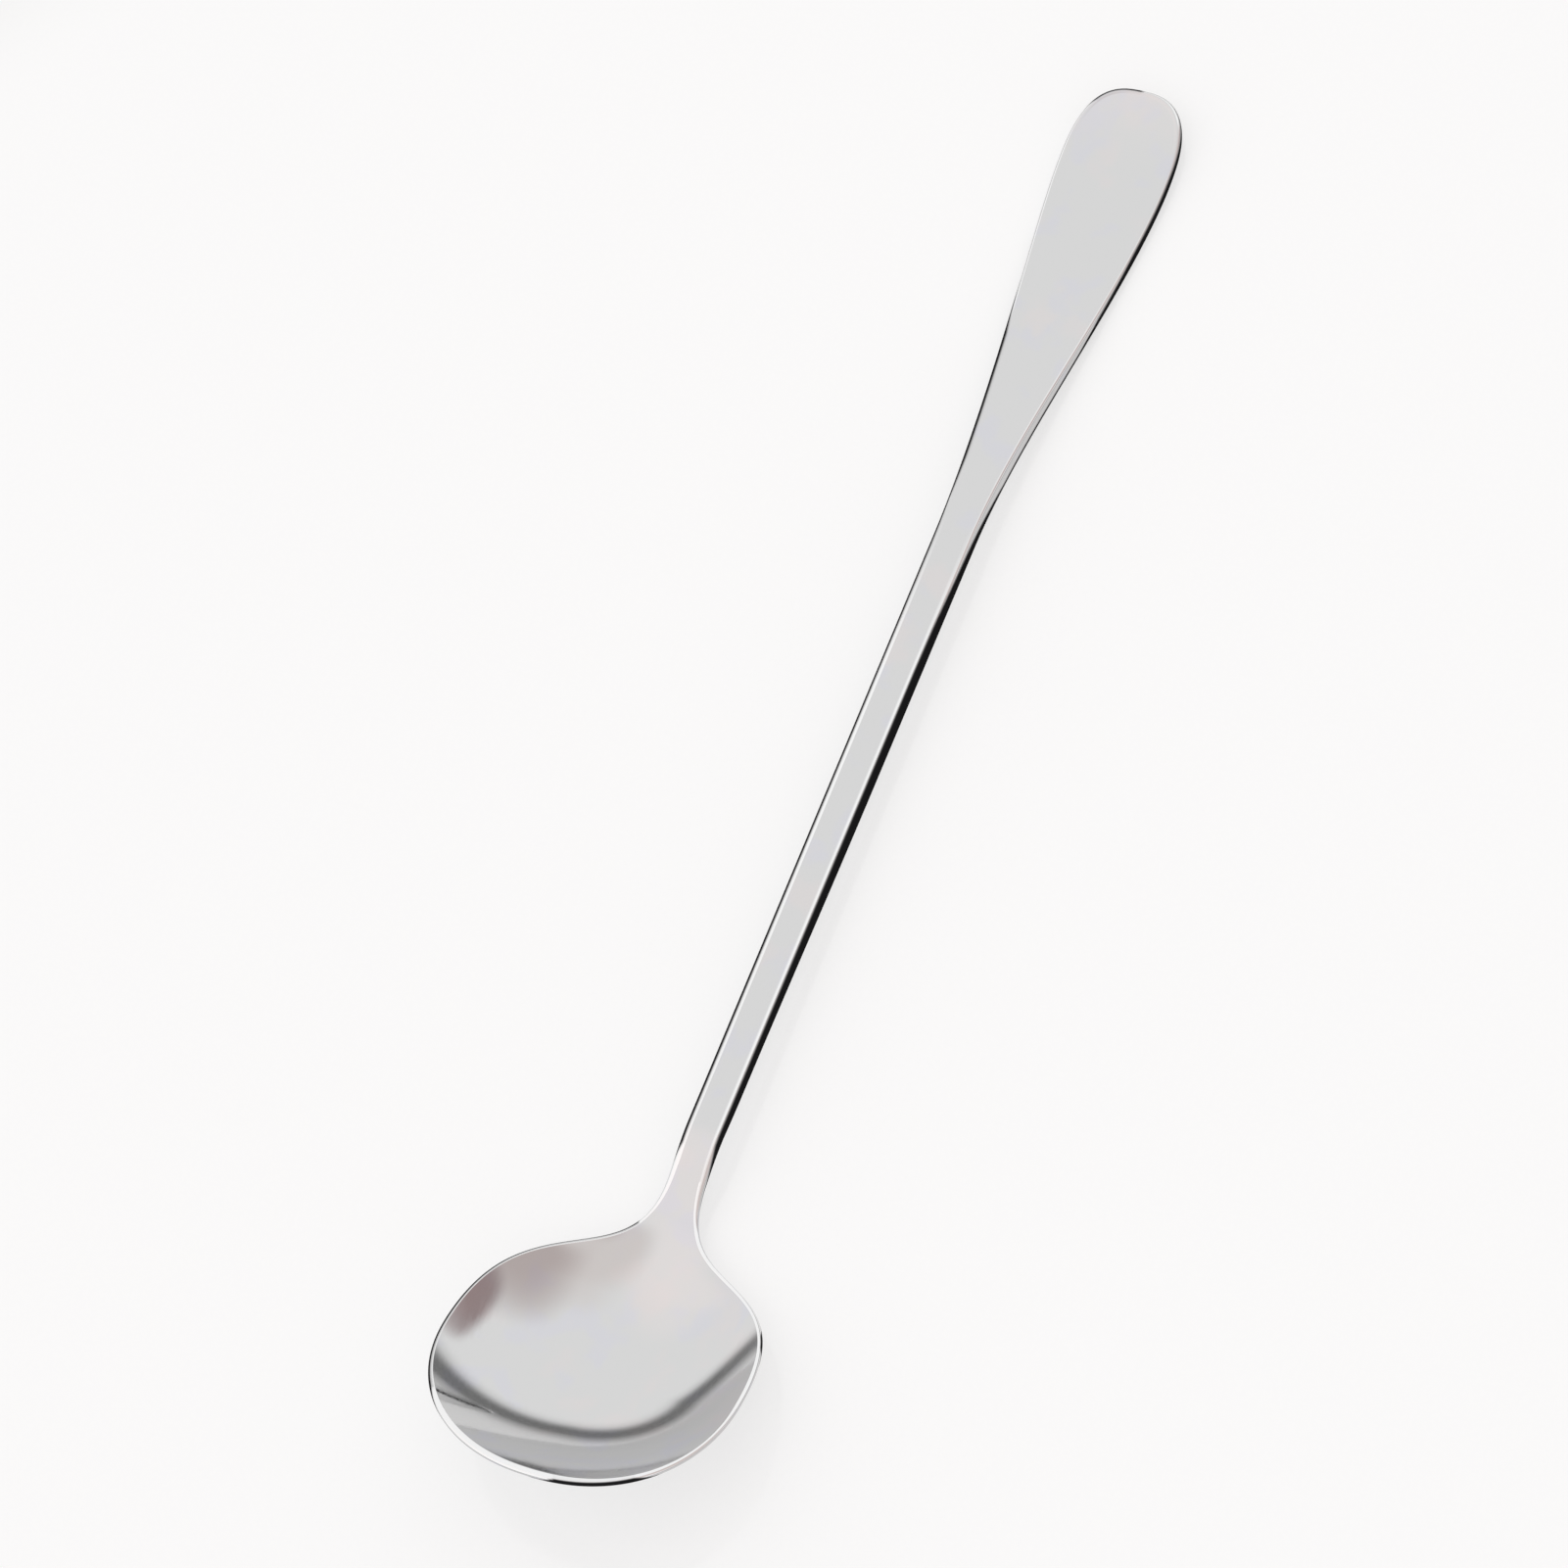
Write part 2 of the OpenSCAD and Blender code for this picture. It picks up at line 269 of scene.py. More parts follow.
def half_skin(edge, lip, middle, across_n, corner_n):
    """Points of one half, as an array of sections by points by three.

    Across the top the spacing follows a sine, so points crowd towards the lip. Each corner is a quarter
    circle, and the side between two corners is straight.
    """
    lip_w = np.linalg.norm(edge - lip, axis=1)
    out = (edge - lip) / lip_w[:, None]
    thick = edge_thickness(edge[:, 0])
    radius = np.minimum(EDGE_R, thick * CORNER_SHARE)
    level = top_height(edge[:, 0])
    inner = edge - out * radius[:, None]
    lip = edge - out * np.maximum(lip_w, radius * FLAT_SHARE)[:, None]
    centre = np.stack([middle, np.zeros_like(middle)], axis=1)

    share = np.sin(np.linspace(0.0, np.pi / 2, across_n + 1))[None, :, None]
    top = centre[:, None] + (lip - centre)[:, None] * share
    top_z = inside_height(top[..., 0], top[..., 1])
    below = centre[:, None] + (inner - centre)[:, None] * share[:, ::-1]
    below_z = under_height(below[..., 0], below[..., 1])

    turn = np.linspace(0.0, np.pi / 2, corner_n + 1)[None]
    corner = edge[:, None] - (out * radius[:, None])[:, None] * (1.0 - np.sin(turn))[..., None]
    drop = radius[:, None] * (1.0 - np.cos(turn))
    upper_z = level[:, None] - drop
    lower_z = ((level - thick)[:, None] + drop)[:, ::-1]

    between = np.linspace(0.0, 1.0, SIDE_N + 1)[None, 1:-1]
    side = np.repeat(edge[:, None], SIDE_N - 1, axis=1)
    side_z = upper_z[:, -1:] * (1.0 - between) + lower_z[:, :1] * between
    plan = np.concatenate([top, corner, side, corner[:, :0:-1], below], axis=1)
    height = np.concatenate([top_z, upper_z, side_z, lower_z[:, :-1], below_z], axis=1)
    return np.concatenate([plan, height[..., None]], axis=2)


print("a section's side: %d steps between its two corners" % SIDE_N)

# %% [markdown]
# ## Painted highlights and painted dark sides
#
# The upper corner and the lip beside it get a painted highlight, a brighter colour than the faces. The
# sides below get a painted dark reflection of the room, a near-black colour, on some stretches more than on
# others. Two marks on the points carry this to the finish. A painted image could do so too, but marks stay
# with the grid's points. The dark tone's start counts down the side: 0 is the top of the upper corner, 1
# its foot, 2 the head of the lower corner, 3 the bottom, and past 3 there is no dark tone.

# %% Where the painted highlights and the painted dark lie
NO_START = 3.5
START_SOFT = 0.17
ON_A_FACE = -1.0
# Painted highlight on the upper corner, and by place along x on the lip beside it.
CORNER_PAINTED_HIGHLIGHT = 0.8
CORNER_BAND = (0.2, 0.6)
LIP_PLACES = [-8.0, 0.0, 66.0, 86.0]
LIP_PAINTED_HIGHLIGHT = [0.7, 0.8, 0.8, 0.0]
# Where the painted dark reflection starts down each side, left and right, at places along x.
LEFT_PAINTED_DARK_STARTS = {
    -37.0: NO_START, -36.5: 0.9, -33.5: 0.0, -6.0: 0.0, -4.5: NO_START, -0.5: 1.2, 3.5: 0.1,
    82.0: 0.2, 88.0: 0.3, 94.0: 0.1, 112.0: 0.1, 126.0: 1.2, 130.0: NO_START,
    143.0: NO_START, 143.5: 0.9, 146.0: 0.1,
}
RIGHT_PAINTED_DARK_STARTS = {
    -40.0: 1.3, -39.85: 0.1, -37.0: 0.1, -35.5: 1.2, -35.0: NO_START,
    -19.5: NO_START, -19.0: 1.6, -17.0: 0.3, -15.5: 0.3, -13.5: 1.6, -13.0: NO_START,
    -4.0: NO_START, -2.0: 1.4, 2.0: 0.6, 4.0: 0.29, 66.0: 0.24, 72.0: 0.32, 77.0: 0.56,
    82.0: 0.8, 87.0: 1.26, 92.0: 1.7, 108.0: 1.6, 112.0: 1.48, 117.0: 0.82, 122.0: 0.6,
    127.0: 0.41, 137.0: 0.38, 141.0: 0.45, 146.0: 0.65,
}

print("places with a start: %d left, %d right" % (len(LEFT_PAINTED_DARK_STARTS), len(RIGHT_PAINTED_DARK_STARTS)))


# %% Edge marks
def edge_marks(x, across_n, corner_n):
    """Two marks for sections at x, each as a pair for the left and the right half.

    The dark mark, a painted dark reflection of the room on the sides, eases from 0 to 1 where the dark
    tone starts, and the starts between two named places are found along a straight line. The bright mark,
    a painted highlight, is above 0 on the upper corner and on the flat lip beside it, which on the right
    half has it only in front of the neck.
    """
    step = np.linspace(0.0, 1.0, corner_n + 1)
    face = np.full(across_n + 1, ON_A_FACE)
    between = np.linspace(1.0, 2.0, SIDE_N + 1)[1:-1]
    down = np.concatenate([face, step, between, 2.0 + step[:-1], face])[None]
    cut = []
    # Shares of the painted dark reflection, one for each half.
    for starts in (LEFT_PAINTED_DARK_STARTS, RIGHT_PAINTED_DARK_STARTS):
        start = np.interp(x, list(starts), list(starts.values()))[:, None]
        cut.append(ease(start - START_SOFT, start + START_SOFT, down))
    # The painted highlight on the upper corner and on the lip.
    corner = np.where((down >= CORNER_BAND[0]) & (down <= CORNER_BAND[1]), CORNER_PAINTED_HIGHLIGHT, 0.0)
    lip = np.interp(x, LIP_PLACES, LIP_PAINTED_HIGHLIGHT)[:, None]
    left = np.where((down >= 0.0) & (down < CORNER_BAND[0]), lip, corner)
    right = left.copy()
    left[:, across_n:across_n + 1] = lip
    right[:, across_n:across_n + 1] = lip * np.where(x < 0.0, 1.0, 0.0)[:, None]
    return {"painted_dark_side": cut, "painted_highlight_edge": [left, right]}


print("marks: painted_dark_side and painted_highlight_edge")

# %% [markdown]
# ## Laying the spoon down
#
# A spoon on a table touches it with the bowl's belly and with the paddle. The line that touches both from
# below gives the angle to turn by. Letting it drop in a simulation would find nearly the same place, but
# the solids' own source works it out, and its three numbers are used here. The fit that is printed for each
# piece further below shows that skins and solids agree.

# %% From the shaft's frame to the table
REST_ANGLE = np.radians(0.267605)
REST_X = -54.067
REST_Z = 4.58828


def on_table(points):
    """Turns points about the y axis by the resting angle and lifts them onto the table, in metres."""
    x, y, z = points[..., 0], points[..., 1], points[..., 2]
    along = x * np.cos(REST_ANGLE) + z * np.sin(REST_ANGLE) + REST_X
    up = z * np.cos(REST_ANGLE) - x * np.sin(REST_ANGLE) + REST_Z
    return np.stack([along, y, up], axis=-1) * MM


print("resting angle: %.3f degrees" % np.degrees(REST_ANGLE))

# %% [markdown]
# ## From grid to mesh
#
# Each grid covers one half of the spoon. Mirroring it across y = 0 gives the other half, and both share the
# points of the middle line, so no seam is left there. A Mirror modifier could do this, but it would have to
# merge the middle line by distance. The flat cut at the weld is closed by a strip of triangles between the
# top and the underside, and its border is marked sharp, so that smooth shading stops at the cut.

# %% Triangles
def grid_triangles(index):
    """Two triangles for each cell of a grid of point numbers.

    The diagonal changes over halfway round the section, so that no triangle at the tip lies flat on the
    middle line.
    """
    a, b = index[:-1, :-1], index[:-1, 1:]
    c, d = index[1:, 1:], index[1:, :-1]
    first_half = np.arange(index.shape[1] - 1)[None, :] < index.shape[1] / 2
    one = np.where(first_half[..., None], np.stack([a, b, c], -1), np.stack([a, b, d], -1))
    two = np.where(first_half[..., None], np.stack([a, c, d], -1), np.stack([b, c, d], -1))
    return np.concatenate([one.reshape(-1, 3), two.reshape(-1, 3)])


def cut_triangles(ring):
    """Triangles that close a flat half-section, paired from the middle line out to the side."""
    half = len(ring) // 2
    k = np.arange(half)
    low = len(ring) - 2 - k
    inner = np.stack([ring[k], ring[low], ring[low + 1]], -1)
    outer = np.stack([ring[k[:-1]], ring[k[:-1] + 1], ring[low[:-1]]], -1)
    return np.concatenate([inner, outer])


def skin_triangles(plus, minus, cuts):
    """Triangles of the grid, of its mirror image turned round, and of each flat cut."""
    faces = [grid_triangles(plus), grid_triangles(minus)[:, ::-1]]
    for row in cuts:
        turn = -1 if row == 0 else 1
        faces += [cut_triangles(plus[row])[:, ::turn], cut_triangles(minus[row])[:, ::-turn]]
    return np.concatenate(faces)


print("triangles in one cell:", len(grid_triangles(np.arange(4).reshape(2, 2))))


# %% A closed skin
def mark_sharp(mesh, ring):
    """Marks the edges whose two points both lie on the border of a flat cut."""
    ends = np.zeros(2 * len(mesh.edges), np.int32)
    mesh.edges.foreach_get("vertices", ends)
    sharp = ring[ends].reshape(-1, 2).all(axis=1)
    mesh.attributes.new("sharp_edge", "BOOLEAN", "EDGE").data.foreach_set("value", sharp)


def closed_skin(name, half, marks, round_start, flip):
    """A closed mesh from half a grid: the grid, its mirror image, and a flat cut at the end and, unless it
    starts round, at the start. Each mark becomes an attribute of the points. A grid that runs towards the
    bowl is flipped, so that its faces point outwards."""
    rows, cols = half.shape[:2]
    plus = np.arange(rows * cols).reshape(rows, cols)
    minus = plus + rows * cols
    minus[:, 0] = plus[:, 0]
    minus[:, -1] = plus[:, -1]
    cuts = [-1] if round_start else [-1, 0]
    if round_start:
        minus[0] = plus[0]
    points = np.concatenate([half.reshape(-1, 3), (half * [1.0, -1.0, 1.0]).reshape(-1, 3)])
    ring = np.zeros(len(points), bool)
    ring[np.concatenate([np.concatenate([plus[row], minus[row]]) for row in cuts])] = True

    used, faces = np.unique(skin_triangles(plus, minus, cuts), return_inverse=True)
    faces = faces.reshape(-1, 3)
    if flip:
        faces = faces[:, ::-1]
    mesh = bpy.data.meshes.new(name)
    mesh.from_pydata(on_table(points[used]).tolist(), [], faces.tolist())
    mesh.shade_smooth()
    for mark, values in marks.items():
        both = np.concatenate([half_values.ravel() for half_values in values])[used]
        mesh.attributes.new(mark, "FLOAT", "POINT").data.foreach_set("value", both.astype(np.float32))
    mark_sharp(mesh, ring[used])
    mesh.validate()
    piece = bpy.data.objects.new(name, mesh)
    bpy.context.scene.collection.objects.link(piece)
    print("%s: %d triangles" % (name, len(faces)))
    return piece


# %% [markdown]
# ## The bowl
#
# A real bowl is pressed from a blank between two dies, which leaves a flat lip round the hollow. The grid
# lines fan out from the deepest place to the lip, as on a globe cut open, and straighten towards the neck.
# Fanning keeps the points dense where the bowl turns most, which plain cross-sections would not do at the
# tip.

# %% Lines across the bowl
def superellipse(angle, fullness):
    """A point on a unit superellipse: cosine and sine of the angle, both to the power 2 / fullness."""
    return np.cos(angle) ** (2 / fullness), np.sin(angle) ** (2 / fullness)


def bowl_middle(x):
    """Where a line across the bowl meets the middle line: fanned in front, straight at the neck."""
    square = X_WIDE / 2
    fanned = square - (square - X_DEEP) * (square - x) / (square - X_TIP)
    return np.where(x > square, x, fanned)


def side_stations(x, middle):
    """Outline point, lip point and middle place for sections square to the shaft."""
    return np.stack([x, half_width(x)], -1), np.stack([x, hollow_half_width(x)], -1), middle


print("the line from the tip ends at x = %.1f mm" % bowl_middle(np.array(X_TIP)))

# %% Bowl
FRONT_N = 72
SHOULDER_N = 104
NECK_N = 40
BOWL_ACROSS_N = 40
CORNER_N = 8

quarter_turn = np.linspace(0.0, np.pi / 2, FRONT_N + 1)
along, out = superellipse(quarter_turn, TIP_FULLNESS)
along[-1] = 0.0
front_edge = np.stack([X_WIDE - BOWL_WIDEST * along, BOWL_W / 2 * out], -1)
front_lip = np.stack([X_WIDE - (BOWL_WIDEST - RIM_TIP_W) * along, (BOWL_W / 2 - RIM_W) * out], -1)
shoulder_x = X_WIDE * (1.0 - np.arange(1, SHOULDER_N + 1) / SHOULDER_N)
neck_x = WELD_BACK * np.arange(1, NECK_N + 1) / NECK_N
back_x = np.concatenate([shoulder_x, neck_x])
back = side_stations(back_x, bowl_middle(back_x))
bowl_edge = np.concatenate([front_edge, back[0]])
bowl_lip = np.concatenate([front_lip, back[1]])
bowl_mid = np.concatenate([bowl_middle(front_edge[:, 0]), back[2]])
bowl_half = half_skin(bowl_edge, bowl_lip, bowl_mid, BOWL_ACROSS_N, CORNER_N)
bowl_marks = edge_marks(bowl_edge[:, 0], BOWL_ACROSS_N, CORNER_N)
bowl = closed_skin("bowl_skin", bowl_half, bowl_marks, True, False)

# %% [markdown]
# ## The weld
#
# The fused band of a butt weld is as wide as the metal is molten, and grinding leaves it flush with the
# shaft. It could be cut out of one long skin with a Boolean, but a few sections of the shaft with a flat
# cut at both ends are simpler, and they meet the other two skins exactly.

# %% Weld
WELD_N = 4
SHAFT_ACROSS_N = 8

weld_x = np.linspace(WELD_BACK, X_HANDLE, WELD_N + 1)
weld_half = half_skin(*side_stations(weld_x, weld_x), SHAFT_ACROSS_N, CORNER_N)
weld_marks = edge_marks(weld_x, SHAFT_ACROSS_N, CORNER_N)
weld = closed_skin("weld_band", weld_half, weld_marks, False, False)

# %% [markdown]
# ## The handle
#
# The handle is a flat bar, drawn thinner and wider towards its end. A tapered box with a Bevel modifier
# would come near it, but its corners would pinch at the end. Here the sections run from the rounded end
# back to the weld, and the end is fanned like the bowl's front, so the edge radius keeps its form all the
# way round.

# %% Handle
END_N = 48
FLARE_N = 96
SHAFT_N = 48

quarter_turn = np.linspace(0.0, np.pi / 2, END_N + 1)
along, out = superellipse(quarter_turn, END_FULLNESS)
along[-1] = 0.0
end_edge = np.stack([X_PADDLE + END_L * along, PADDLE_W / 2 * out], -1)
end_lip = np.stack([X_PADDLE + (END_L - EDGE_R) * along, (PADDLE_W / 2 - EDGE_R) * out], -1)
flare_x = X_PADDLE - FLARE_L * np.arange(1, FLARE_N + 1) / FLARE_N
shaft_x = SHAFT_L + (X_HANDLE - SHAFT_L) * np.arange(1, SHAFT_N + 1) / SHAFT_N
bar_x = np.concatenate([flare_x, shaft_x])
bar = side_stations(bar_x, bar_x)
handle_edge = np.concatenate([end_edge, bar[0]])
handle_lip = np.concatenate([end_lip, bar[1]])
handle_mid = np.concatenate([X_PADDLE + END_L / 2 * along, bar[2]])
handle_half = half_skin(handle_edge, handle_lip, handle_mid, SHAFT_ACROSS_N, CORNER_N)
handle_marks = edge_marks(handle_edge[:, 0], SHAFT_ACROSS_N, CORNER_N)
handle = closed_skin("handle_skin", handle_half, handle_marks, True, True)

# %% [markdown]
# ## Polished steel
#
# The spoon has one finish all over: stainless steel, buffed bright. Buffing leaves hair-fine lines along
# the spoon and slightly cloudy patches. The rounded edges get a painted highlight, a brighter colour than
# the faces, and the sides of the bar get a painted dark reflection, a near-black colour that is not metal.
# A plain metal shader would look like liquid, so noise that is stretched along the spoon varies the
# roughness and the bump, broad noise varies the colour, and the two marks on the mesh place the painted
# highlight and the painted dark.

# %% Node helpers
def link(tree, source, target):
    """Joins two sockets of a node tree."""
    tree.links.new(source, target)


def node(tree, kind, **settings):
    """A new node with some of its settings given by name."""
    made = tree.nodes.new(kind)
    for name, value in settings.items():
        setattr(made, name, value)
    return made


def noise(tree, vector, scale, detail):
    """Soft noise of a given fineness, with its value as the output."""
    made = node(tree, "ShaderNodeTexNoise")
    made.inputs["Scale"].default_value = scale
    made.inputs["Detail"].default_value = detail
    link(tree, vector, made.inputs["Vector"])
    return made.outputs["Fac"]


def spread(tree, value, low, high, at_low=0.0, at_high=1.0):
    """A value that goes smoothly from at_low to at_high while the input goes from low to high."""
    made = node(tree, "ShaderNodeMapRange", interpolation_type="SMOOTHSTEP")
    for name, number in {"From Min": low, "From Max": high, "To Min": at_low, "To Max": at_high}.items():
        made.inputs[name].default_value = number
    link(tree, value, made.inputs["Value"])
    return made.outputs["Result"]


def cover(tree, share, under, over):
    """One colour laid over another by a share. Under is a socket or a colour, over is a colour."""
    made = node(tree, "ShaderNodeMix", data_type="RGBA")
    link(tree, share, made.inputs["Factor"])
    if isinstance(under, tuple):
        made.inputs["A"].default_value = (*under, 1.0)
    else:
        link(tree, under, made.inputs["A"])
    made.inputs["B"].default_value = (*over, 1.0)
    return made.outputs["Result"]


print("node helpers ready")

# %% Steel
STEEL = (0.61, 0.61, 0.61)
STEEL_COOL = (0.6, 0.6, 0.63)
COOL_SCALE = 200.0
COOL_DETAIL = 2.0
COOL_CLOUDS = (0.52, 0.66)
STEEL_WARM = (0.63, 0.61, 0.608)
WARM_SCALE = 140.0
WARM_DETAIL = 3.0
WARM_CLOUDS = (0.55, 0.7)
# A brighter colour for the painted highlight on the rounded edges.
STEEL_PAINTED_HIGHLIGHT = (0.88, 0.88, 0.88)
# A near-black colour for the painted dark reflection on the sides.
STEEL_PAINTED_DARK = (0.012, 0.012, 0.013)

HAIR_STRETCH = (60.0, 3000.0, 3000.0)
HAIR_DETAIL = 3.0
HAIR_RANGE = (0.3, 0.7)
STEEL_ROUGHNESS = (0.05, 0.1)
HAIR_STRENGTH = 0.03
HAIR_HEIGHT = 0.00002


def steel_colour(tree, place, dark):
    """Grey with cool and warm clouds, with a painted highlight by the bright mark on the edges and a
    painted dark reflection by the share dark on the sides.
    """
    bright = node(tree, "ShaderNodeAttribute", attribute_name="painted_highlight_edge").outputs["Fac"]
    cool = spread(tree, noise(tree, place, COOL_SCALE, COOL_DETAIL), *COOL_CLOUDS)
    warm = spread(tree, noise(tree, place, WARM_SCALE, WARM_DETAIL), *WARM_CLOUDS)
    colour = cover(tree, cool, STEEL, STEEL_COOL)
    colour = cover(tree, warm, colour, STEEL_WARM)
    # The painted highlight on the rounded edges.
    colour = cover(tree, bright, colour, STEEL_PAINTED_HIGHLIGHT)
    # The painted dark reflection on the sides.
    return cover(tree, dark, colour, STEEL_PAINTED_DARK)


def polished_steel(name):
    """Metal with cloudy colour, hair lines along x, painted highlights on the rounded edges and painted
    dark reflections on the sides.
    """
    material = bpy.data.materials.new(name)
    material.use_nodes = True
    tree = material.node_tree
    shader = tree.nodes["Principled BSDF"]
    shader.inputs["Specular IOR Level"].default_value = 0.0
    place = node(tree, "ShaderNodeTexCoord").outputs["Object"]
    # The painted dark reflection, which also turns the metal off on the sides.
    dark = node(tree, "ShaderNodeAttribute", attribute_name="painted_dark_side").outputs["Fac"]
    link(tree, steel_colour(tree, place, dark), shader.inputs["Base Color"])
    link(tree, spread(tree, dark, 0.0, 1.0, 1.0, 0.0), shader.inputs["Metallic"])

    stretch = node(tree, "ShaderNodeMapping")
    stretch.inputs["Scale"].default_value = HAIR_STRETCH
    link(tree, place, stretch.inputs["Vector"])
    hairs = noise(tree, stretch.outputs["Vector"], 1.0, HAIR_DETAIL)
    link(tree, spread(tree, hairs, *HAIR_RANGE, *STEEL_ROUGHNESS), shader.inputs["Roughness"])
    bump = node(tree, "ShaderNodeBump")
    bump.inputs["Strength"].default_value = HAIR_STRENGTH
    bump.inputs["Distance"].default_value = HAIR_HEIGHT
    link(tree, hairs, bump.inputs["Height"])
    link(tree, bump.outputs["Normal"], shader.inputs["Normal"])
    return material


spoon_steel = polished_steel("spoon_steel")
weld_steel = polished_steel("weld_steel")
print("steel:", spoon_steel.name, weld_steel.name)

# %% [markdown]
# ## Tying the skins to the solids
#
# Each skin takes the place of the solid that it was drawn from, which is hidden, and rides on the one
# body of the part. Parenting by hand would move the skins too.

# %% Ride and replace
for piece, solid, material, finish in [
    (bowl, "bowl", spoon_steel, "polished_steel"),
    (weld, "neck_weld", weld_steel, "weld_steel"),
    (handle, "handle", spoon_steel, "polished_steel"),
]:
    piece.data.materials.append(material)
    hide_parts(solid)
    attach(piece, "root")
    low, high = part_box(solid)
    points = np.array([corner[:] for corner in piece.bound_box])
    gap = max(np.abs(points.min(0) - low).max(), np.abs(points.max(0) - high).max())
    print("%s fits its solid to %.3f mm" % (piece.name, gap / MM))

# %% [markdown]
# ## The floor
#
# A spoon is mostly a picture of what is round it, so the room matters as much as the finish. The floor is
# a sheet of glossy white card, white near the spoon and grey far away. The grey is painted shade, a
# fall-off of the light painted into the card's colour and its glow. Plain card would look dull white in
# this soft light, and more light would spoil the spoon, so a part of the white is a glow that only the
# camera and the mirror see. The card under it keeps the spoon's shadow.

# %% Floor
FLOOR_REACH = 3.0

floor_mesh = bpy.data.meshes.new("floor")
corners = np.array([[-1, -1, 0], [1, -1, 0], [1, 1, 0], [-1, 1, 0]]) * FLOOR_REACH
floor_mesh.from_pydata(corners.tolist(), [], [[0, 1, 2, 3]])
floor = bpy.data.objects.new("floor", floor_mesh)
bpy.context.scene.collection.objects.link(floor)
print("floor: %.0f m square" % (2 * FLOOR_REACH))

# %% Card
CARD = (0.9, 0.9, 0.9)
CARD_SHADE = (0.89, 0.89, 0.89)
# Painted shade: the card greys far from the spoon, as if the light fell off there.
CARD_FAR_PAINTED_SHADE = (0.3, 0.3, 0.3)
CARD_PAINTED_SHADE_FADE = (0.15, 0.25)
CARD_ROUGHNESS = 0.9
FIBRE_SCALE = 1500.0
FIBRE_DETAIL = 3.0
FIBRE_RANGE = (0.4, 0.6)

floor_card = bpy.data.materials.new("floor_card")
floor_card.use_nodes = True
card = floor_card.node_tree
card_shader = card.nodes["Principled BSDF"]
card_shader.inputs["Roughness"].default_value = CARD_ROUGHNESS
card_shader.inputs["Specular IOR Level"].default_value = 0.0
card_place = node(card, "ShaderNodeTexCoord").outputs["Object"]
card_fibres = spread(card, noise(card, card_place, FIBRE_SCALE, FIBRE_DETAIL), *FIBRE_RANGE)
away = node(card, "ShaderNodeVectorMath", operation="LENGTH")
link(card, card_place, away.inputs[0])
# Share of the painted shade, by the distance from the middle.
far = spread(card, away.outputs["Value"], *CARD_PAINTED_SHADE_FADE)
card_colour = cover(card, far, cover(card, card_fibres, CARD, CARD_SHADE), CARD_FAR_PAINTED_SHADE)
link(card, card_colour, card_shader.inputs["Base Color"])
floor_mesh.materials.append(floor_card)
print("card: white to %.2f m from the middle, grey from %.2f m" % CARD_PAINTED_SHADE_FADE)

# %% White where it is seen
WHITE = (1.0, 1.0, 1.0)
GLOW_SHARE = 0.65


def maths(tree, operation, one, two):
    """One sum on two values. The second is a socket or a number."""
    made = node(tree, "ShaderNodeMath", operation=operation)
    link(tree, one, made.inputs[0])
    if isinstance(two, float):
        made.inputs[1].default_value = two
    else:
        link(tree, two, made.inputs[1])
    return made.outputs["Value"]


rays = node(card, "ShaderNodeLightPath")
seen = maths(card, "MAXIMUM", rays.outputs["Is Camera Ray"], rays.outputs["Is Glossy Ray"])
seen = maths(card, "MAXIMUM", seen, rays.outputs["Is Transmission Ray"])
card_glow = node(card, "ShaderNodeEmission")
# The glow greys with the same painted shade far away.
link(card, cover(card, far, WHITE, CARD_FAR_PAINTED_SHADE), card_glow.inputs["Color"])
card_mix = node(card, "ShaderNodeMixShader")
link(card, maths(card, "MULTIPLY", seen, GLOW_SHARE), card_mix.inputs["Fac"])
link(card, card_shader.outputs["BSDF"], card_mix.inputs[1])
link(card, card_glow.outputs["Emission"], card_mix.inputs[2])
print("card: %.0f %% of what is seen is its own white" % (100 * GLOW_SHARE))

# %% Gloss of the sheet
SHEET_IOR = 1.45
SHEET_ROUGHNESS = 0.1

gloss = node(card, "ShaderNodeBsdfGlossy")
gloss.inputs["Roughness"].default_value = SHEET_ROUGHNESS
grazing = node(card, "ShaderNodeFresnel")
grazing.inputs["IOR"].default_value = SHEET_IOR
sheet_mix = node(card, "ShaderNodeMixShader")
link(card, grazing.outputs["Fac"], sheet_mix.inputs["Fac"])
link(card, card_mix.outputs["Shader"], sheet_mix.inputs[1])
link(card, gloss.outputs["BSDF"], sheet_mix.inputs[2])
link(card, sheet_mix.outputs["Shader"], card.nodes["Material Output"].inputs["Surface"])
print("sheet: gloss over card, stronger at a low angle")

# %% [markdown]
# ## The light
#
# The light is an even, bright dome, as in a tent of white cloth, and dimmer near the ground. Metal in such
# a tent looks flat, so a dark strip stands low on one side, and its reflection draws the curve of the bowl.
# Soft warm and pale patches keep the mirror from looking empty. Lamps could light the spoon too, but each
# would leave a hard spot in the mirror.

# %% Tent and patches
UPWARDS = (0.0, 0.0, 1.0)
TENT = (1.1, 1.1, 1.1)
TENT_LOW = (0.5, 0.5, 0.5)
TENT_LOW_HEIGHT = (0.0, 0.2)

PALE = (1.2, 1.15, 1.14)
PALE_SIDE = (-0.092, 0.522, 0.848)
PALE_EXTENT = (0.86, 1.0)
BEIGE = (0.98, 0.92, 0.9)
BEIGE_SIDE = (-0.171, -0.296, 0.94)
BEIGE_EXTENT = (0.8, 0.95)
WARM = (0.7, 0.615, 0.598)
WARM_SIDE = (0.065, -0.74, 0.669)
WARM_EXTENT = (0.75, 0.93)


def facing(tree, direction, side):
    """How far a direction points to one side: the dot product of the two."""
    made = node(tree, "ShaderNodeVectorMath", operation="DOT_PRODUCT")
    link(tree, direction, made.inputs[0])
    made.inputs[1].default_value = side
    return made.outputs["Value"]


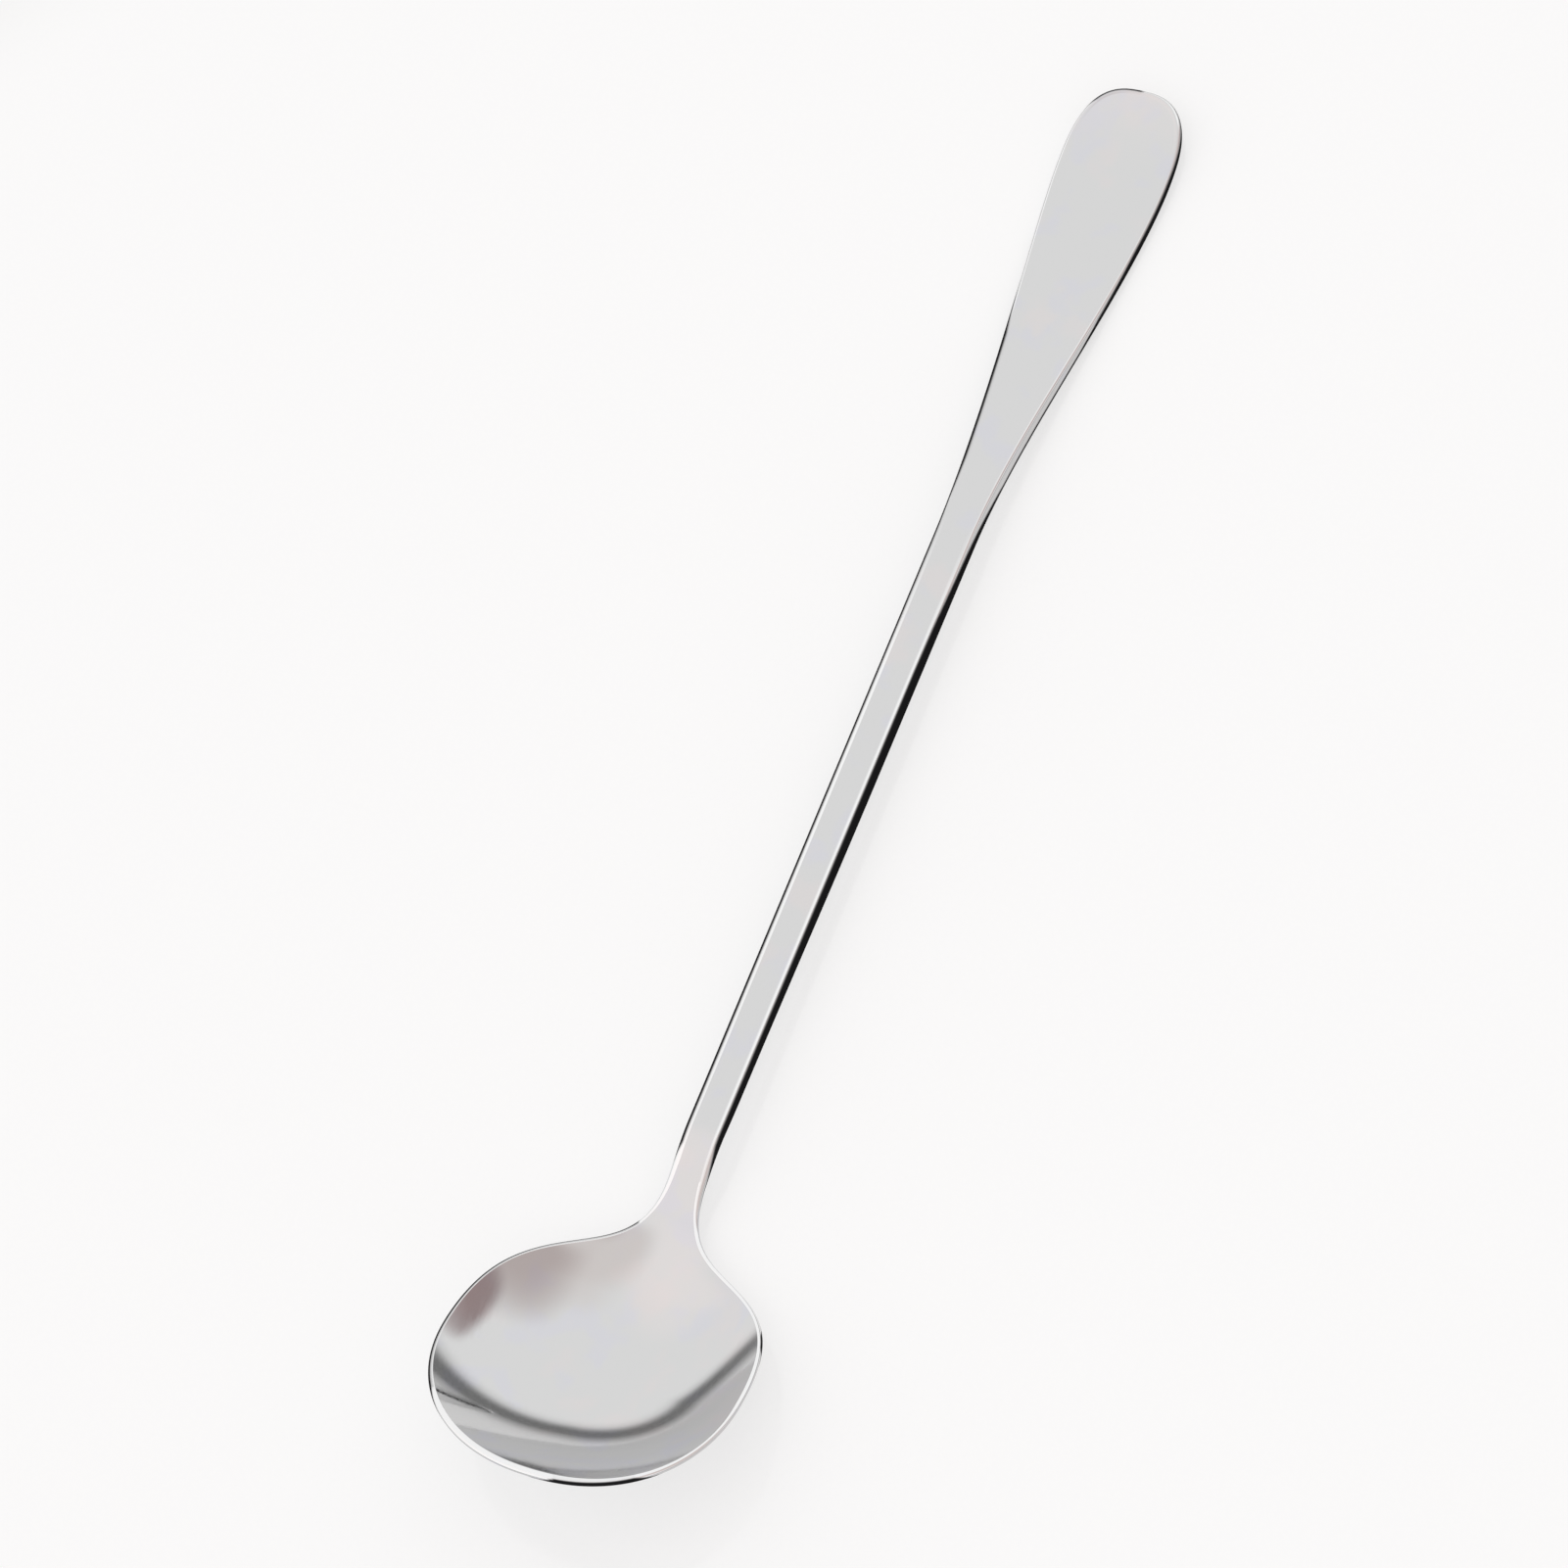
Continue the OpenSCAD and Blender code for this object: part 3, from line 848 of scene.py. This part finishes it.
world = bpy.data.worlds.new("studio")
bpy.context.scene.world = world
world.use_nodes = True
tent = world.node_tree
direction = node(tent, "ShaderNodeTexCoord").outputs["Generated"]
height = facing(tent, direction, UPWARDS)
glow = TENT
for colour, side, extent in [
    (PALE, PALE_SIDE, PALE_EXTENT),
    (BEIGE, BEIGE_SIDE, BEIGE_EXTENT),
    (WARM, WARM_SIDE, WARM_EXTENT),
]:
    glow = cover(tent, spread(tent, facing(tent, direction, side), *extent), glow, colour)
print("world: a bright tent with a pale, a beige and a warm patch")

# %% Russet edge, low tent and dark strip
RUSSET = (0.44, 0.35, 0.35)
RUSSET_SIDE = (0.646, -0.646, 0.407)
RUSSET_EXTENT = (0.955, 0.998)
RUSSET_EDGE = (-0.459, -0.754, -0.47)
RUSSET_EDGE_EXTENT = (-0.11, -0.03)
STRIP = (0.24, 0.24, 0.24)
STRIP_SIDE = (0.966, 0.259, 0.0)
STRIP_EXTENT = (0.3, 0.8)
STRIP_HEIGHT = (0.03, 0.13)

russet_near = spread(tent, facing(tent, direction, RUSSET_SIDE), *RUSSET_EXTENT)
russet_inside = spread(tent, facing(tent, direction, RUSSET_EDGE), *RUSSET_EDGE_EXTENT)
glow = cover(tent, maths(tent, "MULTIPLY", russet_near, russet_inside), glow, RUSSET)
glow = cover(tent, spread(tent, height, *TENT_LOW_HEIGHT, 1.0, 0.0), glow, TENT_LOW)
strip_low = spread(tent, height, *STRIP_HEIGHT, 1.0, 0.0)
strip_near = spread(tent, facing(tent, direction, STRIP_SIDE), *STRIP_EXTENT)
glow = cover(tent, maths(tent, "MULTIPLY", strip_low, strip_near), glow, STRIP)
link(tent, glow, tent.nodes["Background"].inputs["Color"])
print("world: a russet patch, a dimmer foot and a dark strip")

# %% [markdown]
# ## Camera
#
# The picture looks down on the spoon from the bowl's end and a little from one side. A camera can be placed
# by eye in the viewport. Here the direction, the roll and the distance are numbers, because numbers can be
# fitted until the drawn outline falls on the outline in the picture.

# %% Camera
IMAGE_SIZE = 1601
SENSOR = 36.0
CAMERA_NEAR = 0.01
VIEW_X = -0.40695
VIEW_Y = -0.3202
VIEW_ROLL = 0.40079
VIEW_ASIDE = -9.46418
VIEW_ABOVE = -1.57493
VIEW_DISTANCE = 601.494
PIXELS_PER_MM = 9.12947
FOCAL_PIXELS = PIXELS_PER_MM * VIEW_DISTANCE

towards = np.array([VIEW_X, VIEW_Y, np.sqrt(1.0 - VIEW_X**2 - VIEW_Y**2)])
level_up = np.array([1.0, 0.0, 0.0]) - towards * VIEW_X
level_up = level_up / np.linalg.norm(level_up)
level_right = np.cross(level_up, towards)
right = level_right * np.cos(VIEW_ROLL) + level_up * np.sin(VIEW_ROLL)
up = level_up * np.cos(VIEW_ROLL) - level_right * np.sin(VIEW_ROLL)
place = (right * VIEW_ASIDE + up * VIEW_ABOVE + towards * VIEW_DISTANCE) * MM

camera_data = bpy.data.cameras.new("camera")
camera_data.sensor_width = SENSOR
camera_data.lens = FOCAL_PIXELS / IMAGE_SIZE * SENSOR
camera_data.clip_start = CAMERA_NEAR
camera = bpy.data.objects.new("camera", camera_data)
bpy.context.scene.collection.objects.link(camera)
placed = np.eye(4)
placed[:3, :3] = np.stack([right, up, towards], axis=1)
placed[:3, 3] = place
camera.matrix_world = Matrix(placed.tolist())
bpy.context.scene.camera = camera
bpy.context.scene.view_settings.view_transform = "Standard"
print("camera: lens %.1f mm, %.0f mm away" % (camera_data.lens, VIEW_DISTANCE))
